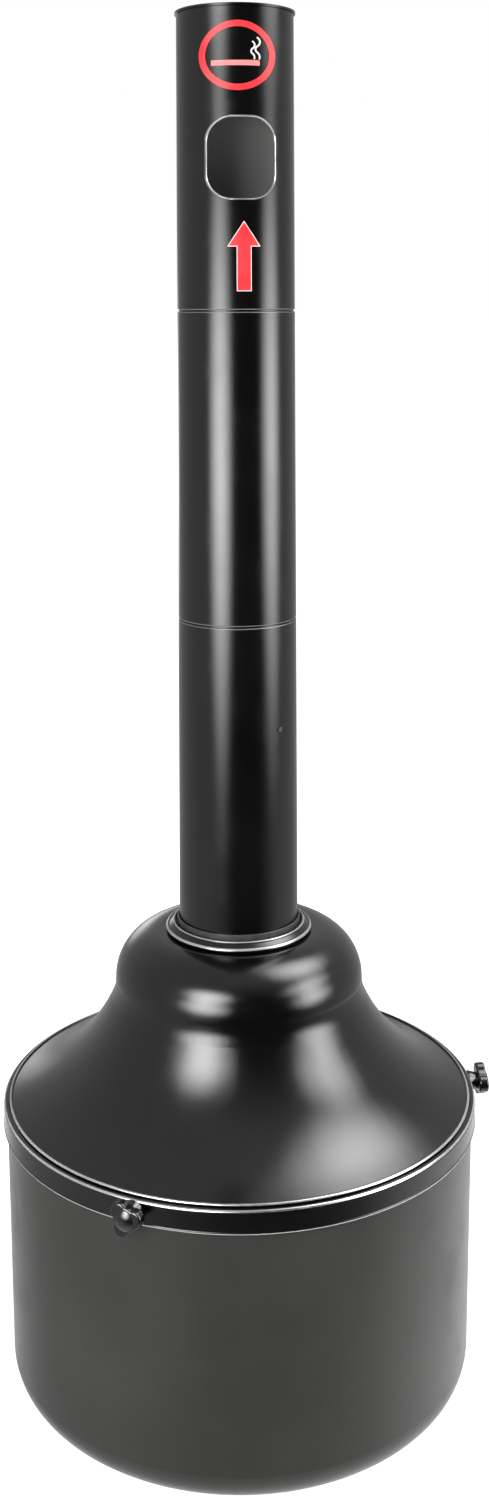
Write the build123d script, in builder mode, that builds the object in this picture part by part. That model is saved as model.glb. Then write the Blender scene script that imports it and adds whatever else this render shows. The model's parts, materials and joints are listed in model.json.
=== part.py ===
from build123d import *
from math import asin, cos, degrees, hypot, radians, sin, tan
import os

# Free-standing ashtray bin: a hollow pole with a mouth for cigarette ends, standing on a bell-shaped
# cover that three clamp knobs hold on a round steel base. The ends fall down the pole into a pail.
#
# Frame: origin on the ground at the centre of the base, +Z up, the mouth faces -Y. Millimetres.
# An azimuth is measured from the front (-Y) towards +X, in degrees.

os.makedirs("parts", exist_ok=True)

# Pole: three lengths of one tube, joined on inner sleeves
tube_radius = 44.45
tube_wall = 2.0
tube_bore_radius = tube_radius - tube_wall
tube_foot_height = 290.8
lower_seam_height = 553.2
upper_seam_height = 784.3
seam_gap = 1.3
tube_top_height = 1007.0
tube_edge_radius = 0.7

# Inner sleeves
sleeve_clearance = 0.1
sleeve_radius = tube_bore_radius - sleeve_clearance
sleeve_wall = 1.6
sleeve_reach_down = 90.0
sleeve_reach_up = 60.0
seam_rib_radius = 43.5
rivet_drop = 77.0
rivet_shank_radius = 1.5
rivet_head_radius = 1.9
rivet_head_rise = 0.7
rivet_tail_radius = 2.3
rivet_tail_depth = 2.2
rivet_fit = 0.02
rivet_head_gap = 0.05

# Mouth
mouth_width = 49.6
mouth_height = 59.0
mouth_corner_radius = 18.0
mouth_centre_height = 896.2
mouth_edge_radius = 1.35

# Cap
total_height = 1009.2
cap_radius = 45.7
cap_sheet = 1.5
cap_seat_height = 1007.2
cap_spigot_height = 988.0
cap_edge_radius = 0.5

# Printed films on the tube
film_gap = 0.02
film_thickness = 0.25
film_reach = 60.0
sign_azimuth = -4.1
sign_centre_height = 970.7
sign_half_width = 28.1
sign_half_height = 25.6
sign_stroke = 4.6
cigarette_left = -19.3
cigarette_right = 16.4
cigarette_thickness = 3.9
cigarette_height = 965.2
cigarette_end_radius = 0.6
smoke_stroke = 1.15
arrow_azimuth = 1.4
arrow_tip_height = 849.0
arrow_length = 49.9
arrow_head_width = 22.8
arrow_head_length = 17.3
arrow_shaft_width = 9.9
arrow_border_width = 0.5

# Bell cover, spun from sheet
bell_sheet = 1.2
bell_top_height = 319.4
bell_top_radius = 58.4
bell_bore_radius = 47.2
shoulder_radius = 34.2
shoulder_drop = 2.0
cove_radius = 30.8
cove_turn = 24.6
flare_radius = 131.9
flare_turn = 44.6
lip_radius = 1.1
lip_centre = (170.9, 201.25)

# Skirt band under the bell
skirt_radius = 176.0
skirt_sheet = 1.2
skirt_top_height = 200.3
skirt_bottom_height = 184.6
skirt_corner_radius = 2.0
skirt_step_radius = 172.5
skirt_flange_radius = 162.0
skirt_flange_slope = 20.8
skirt_flange_drop = 1.3
skirt_hem_radius = 1.0
skirt_hem_bulge = 0.25
skirt_hem_rise = 0.8

# Base
base_foot_radius = 168.5
base_rim_radius = 173.7
base_height = 197.2
base_sheet = 1.2
base_corner_radius = 22.5
base_hem_depth = 14.0
base_hem_thickness = 2.5
base_slot_width = 8.0
base_rim_edge_radius = 0.8

# Collar and neck socket
collar_bead_radius = 1.7
collar_bead_centre = (53.1, 321.4)
collar_lip_radius = 0.95
collar_lip_centre = (48.7, 325.4)
collar_bore_radius = 47.4
bushing_bore_radius = 44.7
bushing_radius = 46.1
bushing_top_height = 330.0
socket_bore_radius = 44.75
socket_radius = 46.35
socket_flange_radius = 57.0
socket_bottom_height = 289.0
socket_ledge_height = 290.6
socket_ledge_radius = 41.0
stud_ring_radius = 50.6
stud_count = 4
stud_start = 45.0
collar_stud_radius = 2.0
collar_stud_clearance = 0.1
collar_stud_length = 12.0
collar_nut_apothem = 3.5
collar_nut_thickness = 3.2
neck_screw_azimuths = (60.0, 180.0, 300.0)
neck_screw_height = 301.0
neck_screw_radius = 2.0
neck_screw_fit = 0.05
neck_screw_inner = 40.2
neck_screw_head_radius = 3.8
neck_screw_head_rise = 2.4

# Clamp knobs
knob_azimuths = (-30.0, 90.0, 200.0)
knob_turns = (11.0, 60.0, 35.0)
knob_height = 193.0
knob_gap = 0.6
knob_lobes = 3
knob_core_radius = 8.6
knob_lobe_radius = 6.0
knob_lobe_offset = 6.4
knob_valley_radius = 1.6
knob_edge_radius = 1.5
knob_head_thickness = 7.2
knob_hub_length = 6.2
knob_hub_radius = 7.4
knob_neck_radius = 5.6
knob_dome_radius = 7.6
knob_dome_root = 0.6
knob_dome_rise = 2.0
clamp_stud_radius = 3.0
clamp_stud_inner = 158.0
clamp_stud_outer = 188.0
clamp_stud_moulding = 0.02
clamp_stud_clearance = 0.3
clamp_nut_fit = 0.05
clamp_nut_corner_radius = 1.5
clamp_nut_face = 170.4
clamp_nut_thickness = 3.6
clamp_nut_width = 15.0
clamp_nut_height = 9.0
clamp_nut_key_width = 7.2
clamp_nut_key_depth = 1.9

# Pail
pail_floor_height = 1.6
pail_top_height = 134.0
pail_foot_radius = 112.0
pail_rim_radius = 128.0
pail_sheet = 1.0
pail_bead_radius = 2.0
pail_foot_fillet = 6.0
ear_thickness = 1.5
ear_half_width = 9.0
ear_inner_face = 132.2
ear_top_height = 147.0
ear_foot_height = 102.0
ear_bend_height = 124.0
ear_bend_rise = 7.0
ear_gap = 0.1
pail_rivet_heights = (108.0, 118.0)
pail_rivet_radius = 2.0
pail_rivet_fit = 0.03
pail_rivet_head_radius = 3.6
pail_rivet_head_rise = 1.2
pail_rivet_seat = 0.8
pail_rivet_tail = 1.0
bail_axis_height = 140.0
bail_radius = 138.5
bail_wire_radius = 2.25
bail_bend_radius = 4.0
bail_pin_inner = 129.0
bail_droop = 15.0
bail_pin_fit = 0.08
grip_radius = 6.5
grip_half_angle = 17.0


def outward_plane(azimuth, radius, height):
    """Plane that faces away from the pole's axis: local X to the right, local Y up."""
    angle = radians(azimuth)
    return Plane(
        origin=(radius * sin(angle), -radius * cos(angle), height),
        x_dir=(cos(angle), sin(angle), 0),
        z_dir=(sin(angle), -cos(angle), 0),
    )


def ring_extrude(inner_radius, outer_radius, low, high, mode=Mode.ADD):
    """Straight tube about the pole's axis, in the part being built."""
    with BuildSketch(Plane.XY.offset(low)) as ring:
        Circle(outer_radius)
        Circle(inner_radius, mode=Mode.SUBTRACT)
    extrude(ring.sketch, amount=high - low, mode=mode)


def radial_rod(azimuth, height, inner, outer, radius, mode=Mode.ADD):
    """Round rod, or with mode SUBTRACT a round hole, that runs out from the axis."""
    with BuildSketch(outward_plane(azimuth, inner, height)) as section:
        Circle(radius)
    extrude(section.sketch, amount=outer - inner, mode=mode)


def vertical_rods(count, ring_radius, low, high, radius, start=0.0, mode=Mode.ADD):
    """Round upright rods or holes, evenly spaced on a circle."""
    with BuildSketch(Plane.XY.offset(low)) as sections:
        with PolarLocations(ring_radius, count, start_angle=start):
            Circle(radius)
    extrude(sections.sketch, amount=high - low, mode=mode)


def tube_length(low, high, rounded_ends):
    """One length of the pole's tube; its outer edges are rounded where they meet a seam."""
    ring_extrude(tube_bore_radius, tube_radius, low, high)
    rims = edges().filter_by(GeomType.CIRCLE).filter_by(lambda rim: rim.radius > tube_bore_radius + 1)
    seam_rims = [rim for rim in rims if any(abs(rim.center().Z - end) < 0.01 for end in rounded_ends)]
    fillet(seam_rims, tube_edge_radius)


def joining_sleeve(seam):
    """Sleeve inside two lengths of tube, with a rib that keeps the seam open."""
    ring_extrude(sleeve_radius - sleeve_wall, sleeve_radius, seam - sleeve_reach_down, seam + sleeve_reach_up)
    rib_half = seam_gap / 2 - sleeve_clearance
    ring_extrude(sleeve_radius - sleeve_wall, seam_rib_radius, seam - rib_half, seam + rib_half)


def sleeve_rivet(azimuth, height):
    """Blind rivet through the tube and its sleeve."""
    tail_face = sleeve_radius - sleeve_wall - sleeve_clearance
    head_face = tube_radius + rivet_head_gap
    radial_rod(azimuth, height, tail_face - rivet_tail_depth, head_face, rivet_shank_radius)
    radial_rod(azimuth, height, tail_face - rivet_tail_depth, tail_face, rivet_tail_radius)
    radial_rod(azimuth, height, head_face, head_face + rivet_head_rise, rivet_head_radius)


def rivet_holes(azimuths, height):
    """Holes for the sleeve's rivets."""
    for azimuth in azimuths:
        radial_rod(azimuth, height, 20, 60, rivet_shank_radius + rivet_fit, mode=Mode.SUBTRACT)


def keep_film(low, high):
    """Cut what has been built down to a thin film on the tube."""
    inner = tube_radius + film_gap
    ring_extrude(inner, inner + film_thickness, low, high, mode=Mode.INTERSECT)


# ---------------------------------------------------------------- base

with BuildPart() as base_bucket:
    with BuildSketch(Plane.XZ) as base_section:
        with BuildLine():
            Polyline(
                (0, 0), (base_foot_radius, 0), (base_rim_radius, base_height), (0, base_height), close=True
            )
        make_face()
        foot_corner = base_section.vertices().sort_by_distance((base_foot_radius, 0, 0))[0]
        fillet(foot_corner, base_corner_radius)
    revolve(axis=Axis.Z)
    offset(amount=-base_sheet, openings=base_bucket.faces().sort_by(Axis.Z)[-1])
    hem_bore = base_rim_radius - base_hem_thickness
    ring_extrude(hem_bore, base_rim_radius - 0.9, base_height - base_hem_depth, base_height)
    top_rims = base_bucket.edges().filter_by(GeomType.CIRCLE).group_by(Axis.Z)[-1]
    fillet(top_rims, base_rim_edge_radius)
    for azimuth in knob_azimuths:
        with BuildSketch(outward_plane(azimuth, 150, knob_height)):
            Circle(base_slot_width / 2)
            with Locations((0, 10)):
                Rectangle(base_slot_width, 20)
        extrude(amount=40, mode=Mode.SUBTRACT)
base_bucket.part.label = "base_bucket"
export_step(base_bucket.part, "parts/base_bucket.step")

# ---------------------------------------------------------------- bell cover and skirt


def collar_stud_holes():
    """Holes for the collar's studs, through the bell's top and the neck socket's flange."""
    hole_radius = collar_stud_radius + collar_stud_clearance
    low = bell_top_height - collar_stud_length
    high = bell_top_height + collar_stud_length
    vertical_rods(stud_count, stud_ring_radius, low, high, hole_radius, start=stud_start, mode=Mode.SUBTRACT)


def bell_line(inset):
    """Bell's profile from its bore to its edge, set in from the outer face by a sheet thickness."""
    top = bell_top_height - inset
    top_flat = Line((bell_bore_radius, top), (bell_top_radius, top))
    shoulder = JernArc(start=top_flat @ 1, tangent=(1, 0), radius=shoulder_radius - inset, arc_size=-90)
    drop = Line(shoulder @ 1, shoulder @ 1 - Vector(0, shoulder_drop))
    cove = JernArc(start=drop @ 1, tangent=(0, -1), radius=cove_radius + inset, arc_size=cove_turn)
    flare = JernArc(start=cove @ 1, tangent=cove % 1, radius=flare_radius + inset, arc_size=flare_turn)
    return Line(flare @ 1, flare @ 1 + (flare % 1) * 2.0)


with BuildPart() as bell_cover:
    with BuildSketch(Plane.XZ):
        with BuildLine():
            outer_edge = bell_line(0)
            inner_edge = bell_line(bell_sheet)
            Line(outer_edge @ 1, inner_edge @ 1)
            Line((bell_bore_radius, bell_top_height), (bell_bore_radius, bell_top_height - bell_sheet))
        make_face()
        with Locations(lip_centre):
            Circle(lip_radius)
    revolve(axis=Axis.Z)
    collar_stud_holes()
bell_cover.part.label = "bell_cover"
export_step(bell_cover.part, "parts/bell_cover.step")

flange_rise = (skirt_step_radius - skirt_flange_radius) * tan(radians(skirt_flange_slope))
flange_foot_height = skirt_top_height - skirt_flange_drop
hem_centre = (skirt_radius - skirt_hem_radius + skirt_hem_bulge, skirt_bottom_height + skirt_hem_rise)
with BuildPart() as skirt_band:
    with BuildSketch(Plane.XZ) as skirt_section:
        with BuildLine():
            Polyline(
                (skirt_radius - skirt_sheet, skirt_bottom_height),
                (skirt_radius, skirt_bottom_height),
                (skirt_radius, skirt_top_height),
                (skirt_step_radius, skirt_top_height),
                (skirt_step_radius, flange_foot_height),
                (skirt_flange_radius, flange_foot_height + flange_rise),
                (skirt_flange_radius, flange_foot_height + flange_rise - skirt_sheet),
                (skirt_step_radius, flange_foot_height - skirt_sheet),
                (skirt_radius - skirt_sheet, flange_foot_height - skirt_sheet),
                close=True,
            )
        make_face()
        top_corner = skirt_section.vertices().sort_by_distance((skirt_radius, skirt_top_height, 0))[0]
        fillet(top_corner, skirt_corner_radius)
        with Locations(hem_centre):
            Circle(skirt_hem_radius)
    revolve(axis=Axis.Z)
    for azimuth in knob_azimuths:
        hole_radius = clamp_stud_radius + clamp_stud_clearance
        radial_rod(azimuth, knob_height, 170, 180, hole_radius, mode=Mode.SUBTRACT)
skirt_band.part.label = "skirt_band"
export_step(skirt_band.part, "parts/skirt_band.step")

# ---------------------------------------------------------------- collar and neck

with BuildPart() as collar_ring:
    with BuildSketch(Plane.XZ):
        with BuildLine():
            Polyline(
                (collar_bore_radius, bell_top_height + 0.3),
                (collar_bead_centre[0], bell_top_height + 0.3),
                (collar_bead_centre[0], collar_bead_centre[1] + 0.6),
                (collar_lip_centre[0] + 0.9, collar_lip_centre[1] - 0.4),
                (collar_bore_radius, collar_lip_centre[1] - 0.4),
                close=True,
            )
        make_face()
        with Locations(collar_bead_centre):
            Circle(collar_bead_radius)
        with Locations(collar_lip_centre):
            Circle(collar_lip_radius)
    revolve(axis=Axis.Z)
collar_ring.part.label = "collar_ring"
export_step(collar_ring.part, "parts/collar_ring.step")

with BuildPart() as collar_bushing:
    ring_extrude(bushing_bore_radius, bushing_radius, bell_top_height - bell_sheet, bushing_top_height)
    bushing_rim = collar_bushing.edges().filter_by(GeomType.CIRCLE).group_by(Axis.Z)[-1]
    fillet(bushing_rim, 0.55)
collar_bushing.part.label = "collar_bushing"
export_step(collar_bushing.part, "parts/collar_bushing.step")

collar_seat = bell_top_height + 0.3
with BuildPart() as collar_studs:
    stud_foot = collar_seat - collar_stud_length
    vertical_rods(stud_count, stud_ring_radius, stud_foot, collar_seat, collar_stud_radius, start=stud_start)
collar_studs.part.label = "collar_studs"
export_step(collar_studs.part, "parts/collar_studs.step")

flange_top = bell_top_height - bell_sheet - 0.1
flange_bottom = flange_top - 1.4
nut_top = flange_bottom - 0.1
with BuildPart() as collar_nuts:
    with BuildSketch(Plane.XY.offset(nut_top - collar_nut_thickness)):
        with PolarLocations(stud_ring_radius, stud_count, start_angle=stud_start):
            RegularPolygon(collar_nut_apothem, 6, major_radius=False)
        with PolarLocations(stud_ring_radius, stud_count, start_angle=stud_start):
            Circle(collar_stud_radius + 0.03, mode=Mode.SUBTRACT)
    extrude(amount=collar_nut_thickness)
collar_nuts.part.label = "collar_nuts"
export_step(collar_nuts.part, "parts/collar_nuts.step")


def neck_screw_holes():
    """Holes for the screws that hold the pole in its socket."""
    for azimuth in neck_screw_azimuths:
        hole_radius = neck_screw_radius + neck_screw_fit
        radial_rod(azimuth, neck_screw_height, 35, 55, hole_radius, mode=Mode.SUBTRACT)


with BuildPart() as neck_socket:
    ring_extrude(socket_bore_radius, socket_radius, socket_bottom_height, flange_top)
    ring_extrude(socket_bore_radius, socket_flange_radius, flange_bottom, flange_top)
    ring_extrude(socket_ledge_radius, socket_radius, socket_bottom_height, socket_ledge_height)
    collar_stud_holes()
    neck_screw_holes()
neck_socket.part.label = "neck_socket"
export_step(neck_socket.part, "parts/neck_socket.step")

with BuildPart() as neck_screws:
    head_seat = socket_radius + 0.1
    head_top = head_seat + neck_screw_head_rise
    for azimuth in neck_screw_azimuths:
        radial_rod(azimuth, neck_screw_height, neck_screw_inner, head_seat, neck_screw_radius)
        radial_rod(azimuth, neck_screw_height, head_seat, head_top, neck_screw_head_radius)
neck_screws.part.label = "neck_screws"
export_step(neck_screws.part, "parts/neck_screws.step")

# ---------------------------------------------------------------- pole

lower_rivet_height = lower_seam_height - rivet_drop
upper_rivet_height = upper_seam_height - rivet_drop
lower_rivet_azimuths = (37.5, 217.5)
upper_rivet_azimuths = (150.0, 210.0)
half_seam = seam_gap / 2

with BuildPart() as lower_tube:
    tube_length(tube_foot_height, lower_seam_height - half_seam, [lower_seam_height - half_seam])
    rivet_holes(lower_rivet_azimuths, lower_rivet_height)
    neck_screw_holes()
lower_tube.part.label = "lower_tube"
export_step(lower_tube.part, "parts/lower_tube.step")

with BuildPart() as middle_tube:
    middle_ends = [lower_seam_height + half_seam, upper_seam_height - half_seam]
    tube_length(middle_ends[0], middle_ends[1], middle_ends)
    rivet_holes(upper_rivet_azimuths, upper_rivet_height)
middle_tube.part.label = "middle_tube"
export_step(middle_tube.part, "parts/middle_tube.step")


def is_outer_mouth_edge(edge):
    """True for the mouth's outline on the tube's outer face."""
    point = edge @ 0.5
    in_width = abs(point.X) < mouth_width / 2 + 0.1
    in_height = abs(point.Z - mouth_centre_height) < mouth_height / 2 + 0.1
    on_face = abs(hypot(point.X, point.Y) - tube_radius) < 0.1
    return in_width and in_height and on_face


with BuildPart() as upper_tube:
    upper_foot = upper_seam_height + half_seam
    tube_length(upper_foot, tube_top_height, [upper_foot])
    with BuildSketch(Plane.XZ):
        with Locations((0, mouth_centre_height)):
            RectangleRounded(mouth_width, mouth_height, mouth_corner_radius)
    extrude(amount=tube_radius + 5, mode=Mode.SUBTRACT)
    mouth_rim = upper_tube.edges().filter_by(is_outer_mouth_edge)
    fillet(mouth_rim, mouth_edge_radius)
upper_tube.part.label = "upper_tube"
export_step(upper_tube.part, "parts/upper_tube.step")

with BuildPart() as lower_sleeve:
    joining_sleeve(lower_seam_height)
    rivet_holes(lower_rivet_azimuths, lower_rivet_height)
lower_sleeve.part.label = "lower_sleeve"
export_step(lower_sleeve.part, "parts/lower_sleeve.step")

with BuildPart() as upper_sleeve:
    joining_sleeve(upper_seam_height)
    rivet_holes(upper_rivet_azimuths, upper_rivet_height)
upper_sleeve.part.label = "upper_sleeve"
export_step(upper_sleeve.part, "parts/upper_sleeve.step")

with BuildPart() as lower_sleeve_rivets:
    for azimuth in lower_rivet_azimuths:
        sleeve_rivet(azimuth, lower_rivet_height)
lower_sleeve_rivets.part.label = "lower_sleeve_rivets"
export_step(lower_sleeve_rivets.part, "parts/lower_sleeve_rivets.step")

with BuildPart() as upper_sleeve_rivets:
    for azimuth in upper_rivet_azimuths:
        sleeve_rivet(azimuth, upper_rivet_height)
upper_sleeve_rivets.part.label = "upper_sleeve_rivets"
export_step(upper_sleeve_rivets.part, "parts/upper_sleeve_rivets.step")

with BuildPart() as top_cap:
    with BuildSketch(Plane.XZ) as cap_section:
        with BuildLine():
            Polyline(
                (0, total_height),
                (cap_radius, total_height),
                (cap_radius, cap_seat_height),
                (sleeve_radius, cap_seat_height),
                (sleeve_radius, cap_spigot_height),
                (sleeve_radius - cap_sheet, cap_spigot_height),
                (sleeve_radius - cap_sheet, total_height - cap_sheet),
                (0, total_height - cap_sheet),
                close=True,
            )
        make_face()
        cap_corner = cap_section.vertices().sort_by_distance((cap_radius, total_height, 0))[0]
        fillet(cap_corner, cap_edge_radius)
    revolve(axis=Axis.Z)
top_cap.part.label = "top_cap"
export_step(top_cap.part, "parts/top_cap.step")

# ---------------------------------------------------------------- printed films

sign_plane = outward_plane(sign_azimuth, 0, 0)
sign_low = sign_centre_height - sign_half_width
sign_high = sign_centre_height + sign_half_width

with BuildPart() as sign_ring:
    with BuildSketch(sign_plane):
        with Locations((0, sign_centre_height)):
            Ellipse(sign_half_width, sign_half_height)
            Ellipse(sign_half_width - sign_stroke, sign_half_height - sign_stroke, mode=Mode.SUBTRACT)
    extrude(amount=film_reach)
    keep_film(sign_low, sign_high)
sign_ring.part.label = "sign_ring"
export_step(sign_ring.part, "parts/sign_ring.step")

with BuildPart() as cigarette_symbol:
    with BuildSketch(sign_plane):
        with Locations(((cigarette_left + cigarette_right) / 2, cigarette_height)):
            RectangleRounded(cigarette_right - cigarette_left, cigarette_thickness, cigarette_end_radius)
    extrude(amount=film_reach)
    keep_film(sign_low, sign_high)
cigarette_symbol.part.label = "cigarette_symbol"
export_step(cigarette_symbol.part, "parts/cigarette_symbol.step")


def smoke_curl(start_x, start_z, bend_radius):
    """One wavy stroke that rises from the cigarette's tip."""
    with BuildLine() as curl:
        foot = JernArc(start=(start_x, start_z), tangent=(0.5, 1), radius=1.4 * bend_radius, arc_size=85)
        waist = JernArc(start=foot @ 1, tangent=foot % 1, radius=bend_radius, arc_size=-120)
        JernArc(start=waist @ 1, tangent=waist % 1, radius=1.3 * bend_radius, arc_size=130)
    trace(curl.line, line_width=smoke_stroke)


with BuildPart() as smoke_symbol:
    with BuildSketch(sign_plane):
        smoke_foot = cigarette_height + cigarette_thickness / 2 + 0.7
        smoke_curl(cigarette_right - 0.4, smoke_foot, 2.7)
        smoke_curl(cigarette_right - 4.2, smoke_foot, 2.2)
    extrude(amount=film_reach)
    keep_film(sign_low, sign_high)
smoke_symbol.part.label = "smoke_symbol"
export_step(smoke_symbol.part, "parts/smoke_symbol.step")

arrow_plane = outward_plane(arrow_azimuth, 0, 0)
arrow_foot_height = arrow_tip_height - arrow_length


def arrow_outline():
    """Upright arrow that points at the mouth, drawn in the current sketch."""
    head_foot = arrow_tip_height - arrow_head_length
    with BuildLine() as outline:
        Polyline(
            (0, arrow_tip_height),
            (arrow_head_width / 2, head_foot),
            (arrow_shaft_width / 2, head_foot),
            (arrow_shaft_width / 2, arrow_foot_height),
            (-arrow_shaft_width / 2, arrow_foot_height),
            (-arrow_shaft_width / 2, head_foot),
            (-arrow_head_width / 2, head_foot),
            close=True,
        )
    make_face(outline.edges())


with BuildPart() as arrow_symbol:
    with BuildSketch(arrow_plane):
        arrow_outline()
    extrude(amount=film_reach)
    keep_film(arrow_foot_height - arrow_head_width, arrow_tip_height + arrow_head_width)
arrow_symbol.part.label = "arrow_symbol"
export_step(arrow_symbol.part, "parts/arrow_symbol.step")

with BuildSketch() as arrow_face:
    arrow_outline()

with BuildPart() as arrow_border:
    with BuildSketch(arrow_plane):
        add(arrow_face.sketch)
        offset(amount=arrow_border_width, kind=Kind.INTERSECTION)
        add(arrow_face.sketch, mode=Mode.SUBTRACT)
    extrude(amount=film_reach)
    keep_film(arrow_foot_height - arrow_head_width, arrow_tip_height + arrow_head_width)
arrow_border.part.label = "arrow_border"
export_step(arrow_border.part, "parts/arrow_border.step")

# ---------------------------------------------------------------- clamp knobs

knob_foot = skirt_radius + knob_gap
knob_seat = knob_foot + knob_hub_length
knob_face = knob_seat + knob_head_thickness
dome_height = knob_dome_rise + knob_dome_root
dome_sphere_radius = (knob_dome_radius**2 + dome_height**2) / (2 * dome_height)
dome_angle = degrees(asin(knob_dome_radius / dome_sphere_radius))

for number, azimuth in enumerate(knob_azimuths, start=1):
    outward = (sin(radians(azimuth)), -cos(radians(azimuth)), 0)
    sideways = (cos(radians(azimuth)), sin(radians(azimuth)), 0)
    with BuildPart() as knob:
        with BuildSketch(outward_plane(azimuth, knob_seat, knob_height)) as head_section:
            Circle(knob_core_radius)
            with PolarLocations(knob_lobe_offset, knob_lobes, start_angle=knob_turns[number - 1]):
                Circle(knob_lobe_radius)
            fillet(head_section.vertices(), knob_valley_radius)
        extrude(amount=knob_head_thickness)
        head_edges = knob.edges().filter_by(lambda edge: edge.geom_type == GeomType.CIRCLE)
        fillet(head_edges, knob_edge_radius)
        with BuildSketch(Plane(origin=(0, 0, knob_height), x_dir=outward, z_dir=sideways)):
            with BuildLine():
                apex = (knob_face + knob_dome_rise, 0)
                dome = JernArc(start=apex, tangent=(0, 1), radius=dome_sphere_radius, arc_size=dome_angle)
                Polyline(
                    dome @ 1,
                    (knob_seat + 3, knob_dome_radius),
                    (knob_seat + 2, knob_neck_radius),
                    (knob_seat, knob_neck_radius),
                    (knob_foot, knob_hub_radius),
                    (knob_foot, 0),
                    apex,
                )
            make_face()
        revolve(axis=Axis((0, 0, knob_height), outward))
        bore_radius = clamp_stud_radius + clamp_stud_moulding
        bore_end = clamp_stud_outer + 0.1
        radial_rod(azimuth, knob_height, knob_foot - 1, bore_end, bore_radius, mode=Mode.SUBTRACT)
    knob.part.label = f"knob_{number}"
    export_step(knob.part, f"parts/knob_{number}.step")

    with BuildPart() as clamp_stud:
        radial_rod(azimuth, knob_height, clamp_stud_inner, clamp_stud_outer, clamp_stud_radius)
    clamp_stud.part.label = f"clamp_stud_{number}"
    export_step(clamp_stud.part, f"parts/clamp_stud_{number}.step")

    with BuildPart() as clamp_nut:
        with BuildSketch(outward_plane(azimuth, clamp_nut_face - clamp_nut_thickness, knob_height)):
            RectangleRounded(clamp_nut_width, clamp_nut_height, clamp_nut_corner_radius)
        extrude(amount=clamp_nut_thickness)
        with BuildSketch(outward_plane(azimuth, clamp_nut_face, knob_height)):
            with Locations((0, clamp_nut_height / 4)):
                Rectangle(clamp_nut_key_width, clamp_nut_height / 2)
        extrude(amount=clamp_nut_key_depth)
        radial_rod(azimuth, knob_height, 150, 180, clamp_stud_radius + clamp_nut_fit, mode=Mode.SUBTRACT)
    clamp_nut.part.label = f"clamp_nut_{number}"
    export_step(clamp_nut.part, f"parts/clamp_nut_{number}.step")

# ---------------------------------------------------------------- pail

pail_taper = (pail_rim_radius - pail_foot_radius) / (pail_top_height - pail_floor_height)


def pail_wall_radius(height):
    """Outer radius of the pail's wall at a height."""
    return pail_rim_radius - (pail_top_height - height) * pail_taper


def pail_rivet_holes(side):
    """Holes for one ear's rivets."""
    for height in pail_rivet_heights:
        radial_rod(side, height, 110, 140, pail_rivet_radius + pail_rivet_fit, mode=Mode.SUBTRACT)


with BuildPart() as inner_pail:
    with BuildSketch(Plane.XZ) as pail_section:
        with BuildLine():
            Polyline(
                (0, pail_floor_height),
                (pail_foot_radius, pail_floor_height),
                (pail_rim_radius, pail_top_height),
                (0, pail_top_height),
                close=True,
            )
        make_face()
        pail_corner = pail_section.vertices().sort_by_distance((pail_foot_radius, pail_floor_height, 0))[0]
        fillet(pail_corner, pail_foot_fillet)
    revolve(axis=Axis.Z)
    offset(amount=-pail_sheet, openings=inner_pail.faces().sort_by(Axis.Z)[-1])
    with BuildSketch(Plane.XZ):
        with Locations((pail_rim_radius + pail_bead_radius - 0.9, pail_top_height)):
            Circle(pail_bead_radius)
    revolve(axis=Axis.Z)
    pail_rivet_holes(90.0)
    pail_rivet_holes(270.0)
inner_pail.part.label = "inner_pail"
export_step(inner_pail.part, "parts/inner_pail.step")

ear_foot_face = pail_wall_radius(ear_foot_height) + ear_gap
ear_bend_face = pail_wall_radius(ear_bend_height) + ear_gap
with BuildPart() as pail_ears:
    for side in (90.0, 270.0):
        with BuildSketch(Plane.XZ.offset(-ear_half_width)):
            with BuildLine():
                Polyline(
                    (ear_foot_face, ear_foot_height),
                    (ear_bend_face, ear_bend_height),
                    (ear_inner_face, ear_bend_height + ear_bend_rise),
                    (ear_inner_face, ear_top_height),
                    (ear_inner_face + ear_thickness, ear_top_height),
                    (ear_inner_face + ear_thickness, ear_bend_height + ear_bend_rise - 0.6),
                    (ear_bend_face + ear_thickness, ear_bend_height - 0.6),
                    (ear_foot_face + ear_thickness, ear_foot_height),
                    close=True,
                )
            make_face()
            if side == 270.0:
                mirror(about=Plane.YZ, mode=Mode.REPLACE)
        extrude(amount=2 * ear_half_width)
        pail_rivet_holes(side)
        radial_rod(side, bail_axis_height, 126, 140, bail_wire_radius + bail_pin_fit, mode=Mode.SUBTRACT)
pail_ears.part.label = "pail_ears"
export_step(pail_ears.part, "parts/pail_ears.step")

with BuildPart() as pail_rivets:
    for side in (90.0, 270.0):
        for height in pail_rivet_heights:
            wall = pail_wall_radius(height)
            head_seat = wall + ear_thickness + pail_rivet_seat
            head_top = head_seat + pail_rivet_head_rise
            radial_rod(side, height, wall - pail_sheet - pail_rivet_tail, head_seat, pail_rivet_radius)
            radial_rod(side, height, head_seat, head_top, pail_rivet_head_radius)
pail_rivets.part.label = "pail_rivets"
export_step(pail_rivets.part, "parts/pail_rivets.step")

droop = radians(bail_droop)
bail_plane = Plane(origin=(0, 0, bail_axis_height), x_dir=(1, 0, 0), z_dir=(0, -sin(droop), cos(droop)))
bend_angle = asin(bail_bend_radius / (bail_radius - bail_bend_radius))
bend_centre_radius = bail_radius - bail_bend_radius

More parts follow.
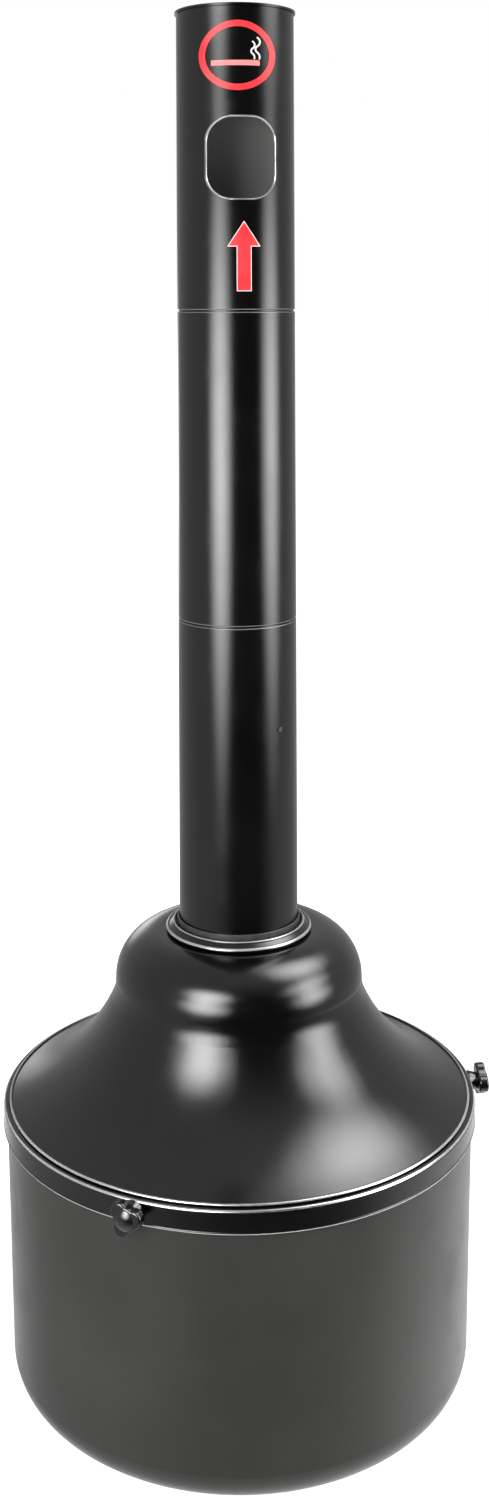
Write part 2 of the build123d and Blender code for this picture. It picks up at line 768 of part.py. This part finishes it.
with BuildPart() as bail_wire:
    with BuildLine(bail_plane) as bail_path:
        pin = Line((bail_pin_inner, 0), (bend_centre_radius * cos(bend_angle), 0))
        bend_turn = -90 - degrees(bend_angle)
        bend = JernArc(start=pin @ 1, tangent=(1, 0), radius=bail_bend_radius, arc_size=bend_turn)
        loop_angle = 180 - 2 * degrees(bend_angle)
        loop = JernArc(start=bend @ 1, tangent=bend % 1, radius=bail_radius, arc_size=-loop_angle)
        far_bend = JernArc(start=loop @ 1, tangent=loop % 1, radius=bail_bend_radius, arc_size=bend_turn)
        Line(far_bend @ 1, (-bail_pin_inner, 0))
    with BuildSketch(Plane(origin=(bail_pin_inner, 0, bail_axis_height), z_dir=(1, 0, 0))):
        Circle(bail_wire_radius)
    sweep()
bail_wire.part.label = "bail_wire"
export_step(bail_wire.part, "parts/bail_wire.step")

with BuildPart() as bail_grip:
    with BuildLine(bail_plane) as grip_path:
        grip_line = CenterArc((0, 0), bail_radius, -90 - grip_half_angle, 2 * grip_half_angle)
    with BuildSketch(Plane(origin=grip_line @ 0, z_dir=grip_line % 0)):
        Circle(grip_radius)
        Circle(bail_wire_radius + 0.1, mode=Mode.SUBTRACT)
    sweep()
bail_grip.part.label = "bail_grip"
export_step(bail_grip.part, "parts/bail_grip.step")
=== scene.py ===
import bpy
from math import cos, pi, radians, sin, tan
from mathutils import Matrix, Vector
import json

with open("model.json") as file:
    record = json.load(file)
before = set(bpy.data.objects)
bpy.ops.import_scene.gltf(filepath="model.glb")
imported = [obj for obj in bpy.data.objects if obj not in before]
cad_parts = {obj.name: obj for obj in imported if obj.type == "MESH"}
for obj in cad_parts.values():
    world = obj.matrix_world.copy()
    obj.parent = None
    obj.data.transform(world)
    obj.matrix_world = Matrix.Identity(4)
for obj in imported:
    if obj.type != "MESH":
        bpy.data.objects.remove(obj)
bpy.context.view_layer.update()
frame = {"nodes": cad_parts, "record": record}
nodes = frame["nodes"]
MM = 0.001

# ------------------------------------------------------------------ sizes that the wear and painted highlights follow

TUBE_BORE = 42.9 * MM            # radius inside the pole
POLE_FOOT = 0.34                 # the bore's pale coat starts above this height
SEAM_RADIUS = 44.3               # the seams' edges, in millimetres like all the rings of wear and painted highlight
SEAM_HEIGHTS = (553.2, 784.3)
MOUTH_HEIGHT = 896.2 * MM        # the mouth's centre
MOUTH_HALF_WIDTH = 24.8 * MM
MOUTH_HALF_TALL = 29.5 * MM
MOUTH_CORNER = 18.0 * MM

# ------------------------------------------------------------------ camera

CAMERA_AZIMUTH = -6.5
CAMERA_DISTANCE = 1.257
CAMERA_HEIGHT = 0.790
CAMERA_ROLL = -0.25
CAMERA_LENS = 39.96
CAMERA_SHIFT_X = 0.00567
CAMERA_SHIFT_Y = -0.298


def around(azimuth, distance, height):
    """Point at an azimuth from the front, measured towards +X, in degrees."""
    turn = radians(azimuth)
    return Vector((distance * sin(turn), -distance * cos(turn), height))


def add_camera():
    """Camera that looks level at the pole; its shift brings the base into the frame."""
    data = bpy.data.cameras.new("camera")
    data.sensor_width = 36.0
    data.lens = CAMERA_LENS
    data.shift_x = CAMERA_SHIFT_X
    data.shift_y = CAMERA_SHIFT_Y
    camera = bpy.data.objects.new("camera", data)
    camera.location = around(CAMERA_AZIMUTH, CAMERA_DISTANCE, CAMERA_HEIGHT)
    turn = Matrix.Rotation(radians(CAMERA_AZIMUTH), 3, "Z") @ Matrix.Rotation(pi / 2, 3, "X")
    camera.rotation_euler = (turn @ Matrix.Rotation(radians(CAMERA_ROLL), 3, "Z")).to_euler()
    bpy.context.scene.collection.objects.link(camera)
    bpy.context.scene.camera = camera


# ------------------------------------------------------------------ node helpers


class Tree:
    """Node tree with small helpers to add nodes and join them."""

    def __init__(self, tree):
        self.tree = tree

    def add(self, kind, **settings):
        node = self.tree.nodes.new(kind)
        for key, value in settings.items():
            setattr(node, key, value)
        return node

    def link(self, source, target):
        self.tree.links.new(source, target)

    def feed(self, socket, value):
        """Set a socket to a number or a colour, or link it."""
        if isinstance(value, tuple):
            socket.default_value = (*value, 1)
        elif isinstance(value, (int, float)):
            socket.default_value = value
        else:
            self.link(value, socket)

    def ramp(self, factor, low, high, low_value, high_value, shape="SMOOTHSTEP"):
        """low_value where factor is at low, high_value where it is at high."""
        node = self.add("ShaderNodeMapRange", interpolation_type=shape)
        node.inputs["From Min"].default_value = low
        node.inputs["From Max"].default_value = high
        node.inputs["To Min"].default_value = low_value
        node.inputs["To Max"].default_value = high_value
        self.link(factor, node.inputs["Value"])
        return node.outputs["Result"]

    def math(self, operation, first, second=0.0, third=0.0):
        node = self.add("ShaderNodeMath", operation=operation)
        for socket, value in zip(node.inputs, (first, second, third)):
            self.feed(socket, value)
        return node.outputs["Value"]

    def length(self, first, second):
        """Length of the diagonal of two sides."""
        squares = self.math("ADD", self.math("MULTIPLY", first, first), self.math("MULTIPLY", second, second))
        return self.math("SQRT", squares)

    def mix(self, factor, first, second):
        node = self.add("ShaderNodeMix", data_type="RGBA")
        for socket, value in zip((node.inputs[0], node.inputs[6], node.inputs[7]), (factor, first, second)):
            self.feed(socket, value)
        return node.outputs[2]


class Shader(Tree):
    """Node material with a Principled shader."""

    def __init__(self, name):
        self.material = bpy.data.materials.new(name)
        self.material.use_nodes = True
        super().__init__(self.material.node_tree)
        self.shader = self.tree.nodes["Principled BSDF"]
        self.coord = self.add("ShaderNodeTexCoord").outputs["Object"]

    def noise(self, scale, detail=4.0, roughness=0.55, stretch=None):
        node = self.add("ShaderNodeTexNoise")
        node.inputs["Scale"].default_value = scale
        node.inputs["Detail"].default_value = detail
        node.inputs["Roughness"].default_value = roughness
        source = self.coord
        if stretch:
            mapping = self.add("ShaderNodeMapping")
            mapping.inputs["Scale"].default_value = stretch
            self.link(self.coord, mapping.inputs["Vector"])
            source = mapping.outputs["Vector"]
        self.link(source, node.inputs["Vector"])
        return node.outputs["Fac"]

    def bump(self, height, distance, strength=1.0, normal=None):
        node = self.add("ShaderNodeBump")
        node.inputs["Distance"].default_value = distance
        node.inputs["Strength"].default_value = strength
        self.link(height, node.inputs["Height"])
        if normal:
            self.link(normal, node.inputs["Normal"])
        return node.outputs["Normal"]

    def axis(self, index):
        node = self.add("ShaderNodeSeparateXYZ")
        self.link(self.coord, node.inputs[0])
        return node.outputs[index]

    def axis_distance(self):
        """Distance from the pole's axis."""
        return self.length(self.axis(0), self.axis(1))

    def ring_mask(self, rings):
        """Wear and painted highlight close to each ring about the pole's axis, given as radius, height, reach
        and amount.
        """
        radius, height = self.axis_distance(), self.axis(2)
        mask = None
        for ring_radius, ring_height, reach, amount in rings:
            across = self.math("SUBTRACT", radius, ring_radius)
            along = self.math("SUBTRACT", height, ring_height)
            ring = self.ramp(self.length(across, along), 0.7 * reach, reach, amount, 0.0)
            mask = ring if mask is None else self.math("MAXIMUM", mask, ring)
        # the front gets the most: wear, and painted highlight on the side facing the camera
        front_wear_and_highlight = self.ramp(self.axis(1), -0.13, 0.02, 1.0, 0.3)
        return self.math("MULTIPLY", mask, front_wear_and_highlight)

    def mouth_mask(self):
        """1 on the rounded edge of the mouth, on the front of the tube: a band of wear and painted highlight.
        """
        beyond_x = self.math("SUBTRACT", self.math("ABSOLUTE", self.axis(0)), MOUTH_HALF_WIDTH - MOUTH_CORNER)
        from_middle = self.math("ABSOLUTE", self.math("SUBTRACT", self.axis(2), MOUTH_HEIGHT))
        beyond_z = self.math("SUBTRACT", from_middle, MOUTH_HALF_TALL - MOUTH_CORNER)
        reach = self.length(self.math("MAXIMUM", beyond_x, 0.0), self.math("MAXIMUM", beyond_z, 0.0))
        gap = self.math("SUBTRACT", reach, MOUTH_CORNER)
        band = self.ramp(gap, 1.0 * MM, 1.5 * MM, 1.0, 0.0)
        inside = self.ramp(gap, -1.0 * MM, -0.2 * MM, 0.0, 1.0)
        front = self.ramp(self.axis(1), -0.03, -0.029, 1.0, 0.0)
        outside = self.ramp(self.axis_distance(), TUBE_BORE, TUBE_BORE + 0.2 * MM, 0.0, 1.0)
        edge = self.math("MULTIPLY", band, inside)
        return self.math("MULTIPLY", edge, self.math("MULTIPLY", front, outside))

    def finish(self, color, roughness, normal=None, metallic=None):
        for name, value in (("Base Color", color), ("Roughness", roughness), ("Normal", normal),
                            ("Metallic", metallic)):
            if value is not None:
                self.feed(self.shader.inputs[name], value)
        return self.material


# ------------------------------------------------------------------ lights and room


def soft_box(name, azimuth, distance, height, width, tall, radiance, tilt=0.0):
    """Softbox that fades towards its edges; azimuth is from the camera, to its right, tilt is downwards."""
    material = bpy.data.materials.new(name)
    material.use_nodes = True
    panel = Tree(material.node_tree)
    panel.tree.nodes.clear()
    span = panel.add("ShaderNodeVectorMath", operation="LENGTH")
    panel.link(panel.add("ShaderNodeTexCoord").outputs["Object"], span.inputs[0])
    glow = panel.add("ShaderNodeEmission")
    panel.link(panel.ramp(span.outputs["Value"], 0.5, 0.0, 0.0, radiance), glow.inputs["Strength"])
    both = panel.add("ShaderNodeAddShader")
    panel.link(glow.outputs["Emission"], both.inputs[0])
    panel.link(panel.add("ShaderNodeBsdfTransparent").outputs["BSDF"], both.inputs[1])
    panel.link(both.outputs["Shader"], panel.add("ShaderNodeOutputMaterial").inputs["Surface"])

    mesh = bpy.data.meshes.new(name)
    mesh.from_pydata([(-0.5, -0.5, 0), (0.5, -0.5, 0), (0.5, 0.5, 0), (-0.5, 0.5, 0)], [], [(0, 1, 2, 3)])
    mesh.materials.append(material)
    box = bpy.data.objects.new(name, mesh)
    box.scale = (width, tall, 1)
    box.location = around(CAMERA_AZIMUTH + azimuth, distance, height)
    facing = Vector((-box.location.x, -box.location.y, -distance * tan(radians(tilt))))
    box.rotation_euler = facing.to_track_quat("Z", "Y").to_euler()
    box.visible_camera = False
    box.visible_shadow = False
    bpy.context.scene.collection.objects.link(box)


def add_lights():
    """A low and a high softbox on each side, and two that fill the bell's slopes."""
    soft_box("left_low", -31, 1.6, 0.55, 1.7, 1.35, 11.5)
    soft_box("left_high", -31, 3.4, 2.38, 4.0, 2.9, 12.5, 32)
    soft_box("right_low", 69, 1.6, 0.58, 1.6, 1.3, 8.3)
    soft_box("right_high", 74, 3.4, 2.4, 4.4, 2.8, 8.0, 32)
    soft_box("top_right", 108, 1.3, 2.3, 2.8, 2.4, 8.5, 58)
    soft_box("behind", 196, 2.2, 0.5, 1.4, 1.0, 2.2)


def add_room():
    """White backdrop for the camera; for all else a dim room, lighter behind the object and below it."""
    world = bpy.data.worlds.new("studio")
    bpy.context.scene.world = world
    world.use_nodes = True
    sky = Tree(world.node_tree)
    sky.tree.nodes.clear()
    ray = sky.add("ShaderNodeTexCoord").outputs["Generated"]
    split = sky.add("ShaderNodeSeparateXYZ")
    sky.link(ray, split.inputs[0])
    upward = split.outputs["Z"]

    def towards(direction):
        dot = sky.add("ShaderNodeVectorMath", operation="DOT_PRODUCT")
        dot.inputs[1].default_value = direction
        sky.link(ray, dot.inputs[0])
        return dot.outputs["Value"]

    walls = sky.ramp(towards(around(CAMERA_AZIMUTH + 14, 1, 0)), 0.35, 0.85, 0.45, 0.010, "LINEAR")
    straight_down = sky.ramp(upward, -0.45, -0.95, 0.0, 0.75)
    tone = sky.mix(straight_down, walls, (1, 1, 1))
    # the bright floor behind the object, which only the steep reflections at its sides meet
    behind = sky.ramp(towards(around(CAMERA_AZIMUTH + 148, 0.87, -0.5)), 0.15, 0.95, 0.0, 1.0)
    on_floor = sky.ramp(upward, -0.36, -0.47, 0.0, 1.0)
    tone = sky.mix(sky.math("MULTIPLY", behind, on_floor), tone, (1.4, 1.4, 1.4))

    room = sky.add("ShaderNodeBackground")
    sky.link(tone, room.inputs["Color"])
    backdrop = sky.add("ShaderNodeBackground")
    sky.feed(backdrop.inputs["Color"], (1, 1, 1))
    seen = sky.add("ShaderNodeMixShader")
    sky.link(sky.add("ShaderNodeLightPath").outputs["Is Camera Ray"], seen.inputs["Fac"])
    sky.link(room.outputs["Background"], seen.inputs[1])
    sky.link(backdrop.outputs["Background"], seen.inputs[2])
    sky.link(seen.outputs["Shader"], sky.add("ShaderNodeOutputWorld").inputs["Surface"])


def add_floor():
    """Pale floor, lit enough to meet the backdrop without an edge."""
    shader = Shader("pale_floor")
    tone = shader.mix(shader.noise(3.0, 3.0), (0.50, 0.50, 0.50), (0.53, 0.53, 0.53))
    shader.feed(shader.shader.inputs["Emission Color"], (1, 1, 1))
    shader.shader.inputs["Emission Strength"].default_value = 0.85
    reach = 60.0
    mesh = bpy.data.meshes.new("floor")
    corners = [(-reach, -reach, 0), (reach, -reach, 0), (reach, reach, 0), (-reach, reach, 0)]
    mesh.from_pydata(corners, [], [(0, 1, 2, 3)])
    mesh.materials.append(shader.finish(tone, 0.8))
    floor = bpy.data.objects.new("floor", mesh)
    bpy.context.scene.collection.objects.link(floor)
    floor.visible_glossy = False


# ------------------------------------------------------------------ materials


def painted_steel(name, dark, light, roughness, peel, specular, wear_and_highlight_rings=(), tube=False):
    """Sprayed or powder-coated steel: mottled colour, orange peel, dust, and edges turned to bright bare
    metal, partly wear and partly painted highlight.
    """
    s = Shader(name)
    s.shader.inputs["Specular IOR Level"].default_value = specular
    mottle = s.ramp(s.noise(9.0, 5.0), 0.35, 0.7, 0.0, 1.0)
    color = s.mix(mottle, dark, light)
    speck = s.ramp(s.noise(900.0, 2.0), 0.70, 0.78, 0.0, 0.35)
    color = s.mix(speck, color, tuple(min(1.0, 2.2 * v + 0.01) for v in light))
    smudge = s.ramp(s.noise(26.0, 6.0, 0.65), 0.45, 0.75, 0.0, 1.0)
    rough = s.math("MULTIPLY_ADD", smudge, 0.07, roughness)
    metallic = None
    if wear_and_highlight_rings:
        mask = s.ring_mask(wear_and_highlight_rings)
        if tube:
            mask = s.math("MAXIMUM", mask, s.mouth_mask())
            within = s.ramp(s.axis_distance(), TUBE_BORE - 0.4 * MM, TUBE_BORE, 1.0, 0.0)
            bore = s.math("MULTIPLY", within, s.ramp(s.axis(2), POLE_FOOT, POLE_FOOT + 0.01, 0.0, 1.0))
            color = s.mix(bore, color, (0.21, 0.21, 0.205))
            rough = s.math("ADD", rough, s.math("MULTIPLY", bore, 0.3))
        # bright bare metal on the rings and the mouth's edge: partly wear, partly painted highlight
        patchy = s.ramp(s.noise(70.0, 5.0, 0.7), 0.25, 0.6, 0.55, 1.0)
        metallic = s.math("MULTIPLY", mask, patchy)
        color = s.mix(metallic, color, (0.80, 0.80, 0.81))
    fine = s.bump(s.noise(1500.0, 2.0), 0.00006, 0.5)
    normal = s.bump(s.noise(380.0, 2.0, 0.4), peel, 1.0, fine)
    return s.finish(color, rough, normal, metallic)


def galvanised(name, dark, light):
    """Zinc-coated sheet: crystal spangle, dull sheen, fine grain."""
    s = Shader(name)
    cells = s.add("ShaderNodeTexVoronoi", feature="F1")
    cells.inputs["Scale"].default_value = 110.0
    s.link(s.coord, cells.inputs["Vector"])
    spangle = s.ramp(cells.outputs["Color"], 0.1, 0.9, 0.0, 1.0)
    cloud = s.ramp(s.noise(14.0, 5.0), 0.3, 0.7, 0.0, 0.6)
    color = s.mix(s.math("MULTIPLY_ADD", spangle, 0.55, 0.5), dark, light)
    color = s.mix(cloud, color, dark)
    rough = s.ramp(cells.outputs["Color"], 0.0, 1.0, 0.30, 0.48)
    normal = s.bump(s.noise(500.0, 3.0), 0.00005, 0.6)
    return s.finish(color, rough, normal, 0.9)


def plated(name, tint, roughness):
    """Zinc-plated hardware: bright metal with handling marks."""
    s = Shader(name)
    cloud = s.ramp(s.noise(160.0, 5.0), 0.3, 0.75, 0.0, 1.0)
    color = s.mix(cloud, tint, tuple(v * 0.62 for v in tint))
    rough = s.ramp(s.noise(700.0, 4.0), 0.3, 0.7, roughness, roughness + 0.15)
    normal = s.bump(s.noise(1800.0, 3.0), 0.00003, 0.6)
    return s.finish(color, rough, normal, 1.0)


def plastic(name, dark, light, roughness, specular=0.5):
    """Moulded plastic or rubber: slight flow marks, fine grain."""
    s = Shader(name)
    s.shader.inputs["Specular IOR Level"].default_value = specular
    flow = s.ramp(s.noise(180.0, 4.0), 0.35, 0.7, 0.0, 1.0)
    color = s.mix(flow, dark, light)
    rough = s.ramp(s.noise(420.0, 4.0), 0.35, 0.75, roughness, roughness + 0.08)
    normal = s.bump(s.noise(1300.0, 2.0), 0.00003, 0.6)
    return s.finish(color, rough, normal)


def film(name, ink, faded):
    """Printed vinyl film: slightly uneven ink, faint scuffs."""
    s = Shader(name)
    uneven = s.ramp(s.noise(60.0, 5.0), 0.35, 0.7, 0.0, 1.0)
    color = s.mix(uneven, ink, faded)
    scuff = s.ramp(s.noise(240.0, 6.0, 0.7, (1, 1, 0.15)), 0.64, 0.74, 0.0, 0.35)
    color = s.mix(scuff, color, tuple(min(1.0, v * 0.7 + 0.12) for v in faded))
    rough = s.ramp(s.noise(90.0, 4.0), 0.3, 0.7, 0.32, 0.44)
    normal = s.bump(s.noise(700.0, 2.0), 0.00003, 0.6)
    return s.finish(color, rough, normal)


def ring_mm(radius, height, reach, amount=1.0):
    """Ring of wear and painted highlight about the pole's axis, from millimetres."""
    return (radius * MM, height * MM, reach * MM, amount)


def black_coat(name):
    """Gloss black powder coat, bright on the pole's seams, the bell's lip and the collar: partly wear, partly
    painted highlight.
    """
    seam_edges = [seam + side for seam in SEAM_HEIGHTS for side in (-1.0, 1.0)]
    seams = tuple(ring_mm(SEAM_RADIUS, height, 0.55, 0.22) for height in seam_edges)
    lip = (ring_mm(171.2, 201.9, 0.95), ring_mm(175.5, 199.8, 0.9), ring_mm(176.0, 184.9, 0.5))
    collar = (ring_mm(54.2, 322.6, 1.1), ring_mm(48.9, 326.0, 0.8))
    return painted_steel(name, (0.0012, 0.0012, 0.0012), (0.0022, 0.0022, 0.0021), 0.16, 0.00002, 0.7,
                         seams + lip + collar, tube=True)


def base_paint(name):
    """Satin dark grey paint on the base."""
    return painted_steel(name, (0.015, 0.0147, 0.0138), (0.021, 0.0206, 0.0194), 0.33, 0.00005, 0.6)


finishes = {
    "black_powder_coat": black_coat("black_powder_coat"),
    "base_paint": base_paint("base_paint"),
    "galvanised_steel": galvanised("galvanised_steel", (0.30, 0.32, 0.34), (0.62, 0.64, 0.66)),
    "zinc_hardware": plated("zinc_hardware", (0.66, 0.67, 0.68), 0.22),
    "dark_rivet": painted_steel("dark_rivet", (0.02, 0.02, 0.02), (0.05, 0.05, 0.05), 0.35, 0.00002, 0.5),
    "black_plastic": plastic("black_plastic", (0.0020, 0.0020, 0.0021), (0.0042, 0.0042, 0.0043), 0.13, 0.9),
    "rubber_bushing": plastic("rubber_bushing", (0.02, 0.02, 0.02), (0.035, 0.035, 0.034), 0.45),
    "red_film": film("red_film", (0.58, 0.012, 0.018), (0.66, 0.026, 0.033)),
    "salmon_film": film("salmon_film", (0.60, 0.13, 0.125), (0.66, 0.18, 0.17)),
    "white_film": film("white_film", (0.58, 0.50, 0.50), (0.68, 0.60, 0.60)),
}

# ------------------------------------------------------------------ scene

bpy.context.scene.view_settings.view_transform = "Standard"
add_camera()
add_lights()
add_room()
for entry in frame["record"]["subparts"]:
    piece = nodes[entry["node"]]
    piece.data.materials.clear()
    piece.data.materials.append(finishes[entry["material_slot"]])
add_floor()

# ------------------------------------------------------------------ json module

import json
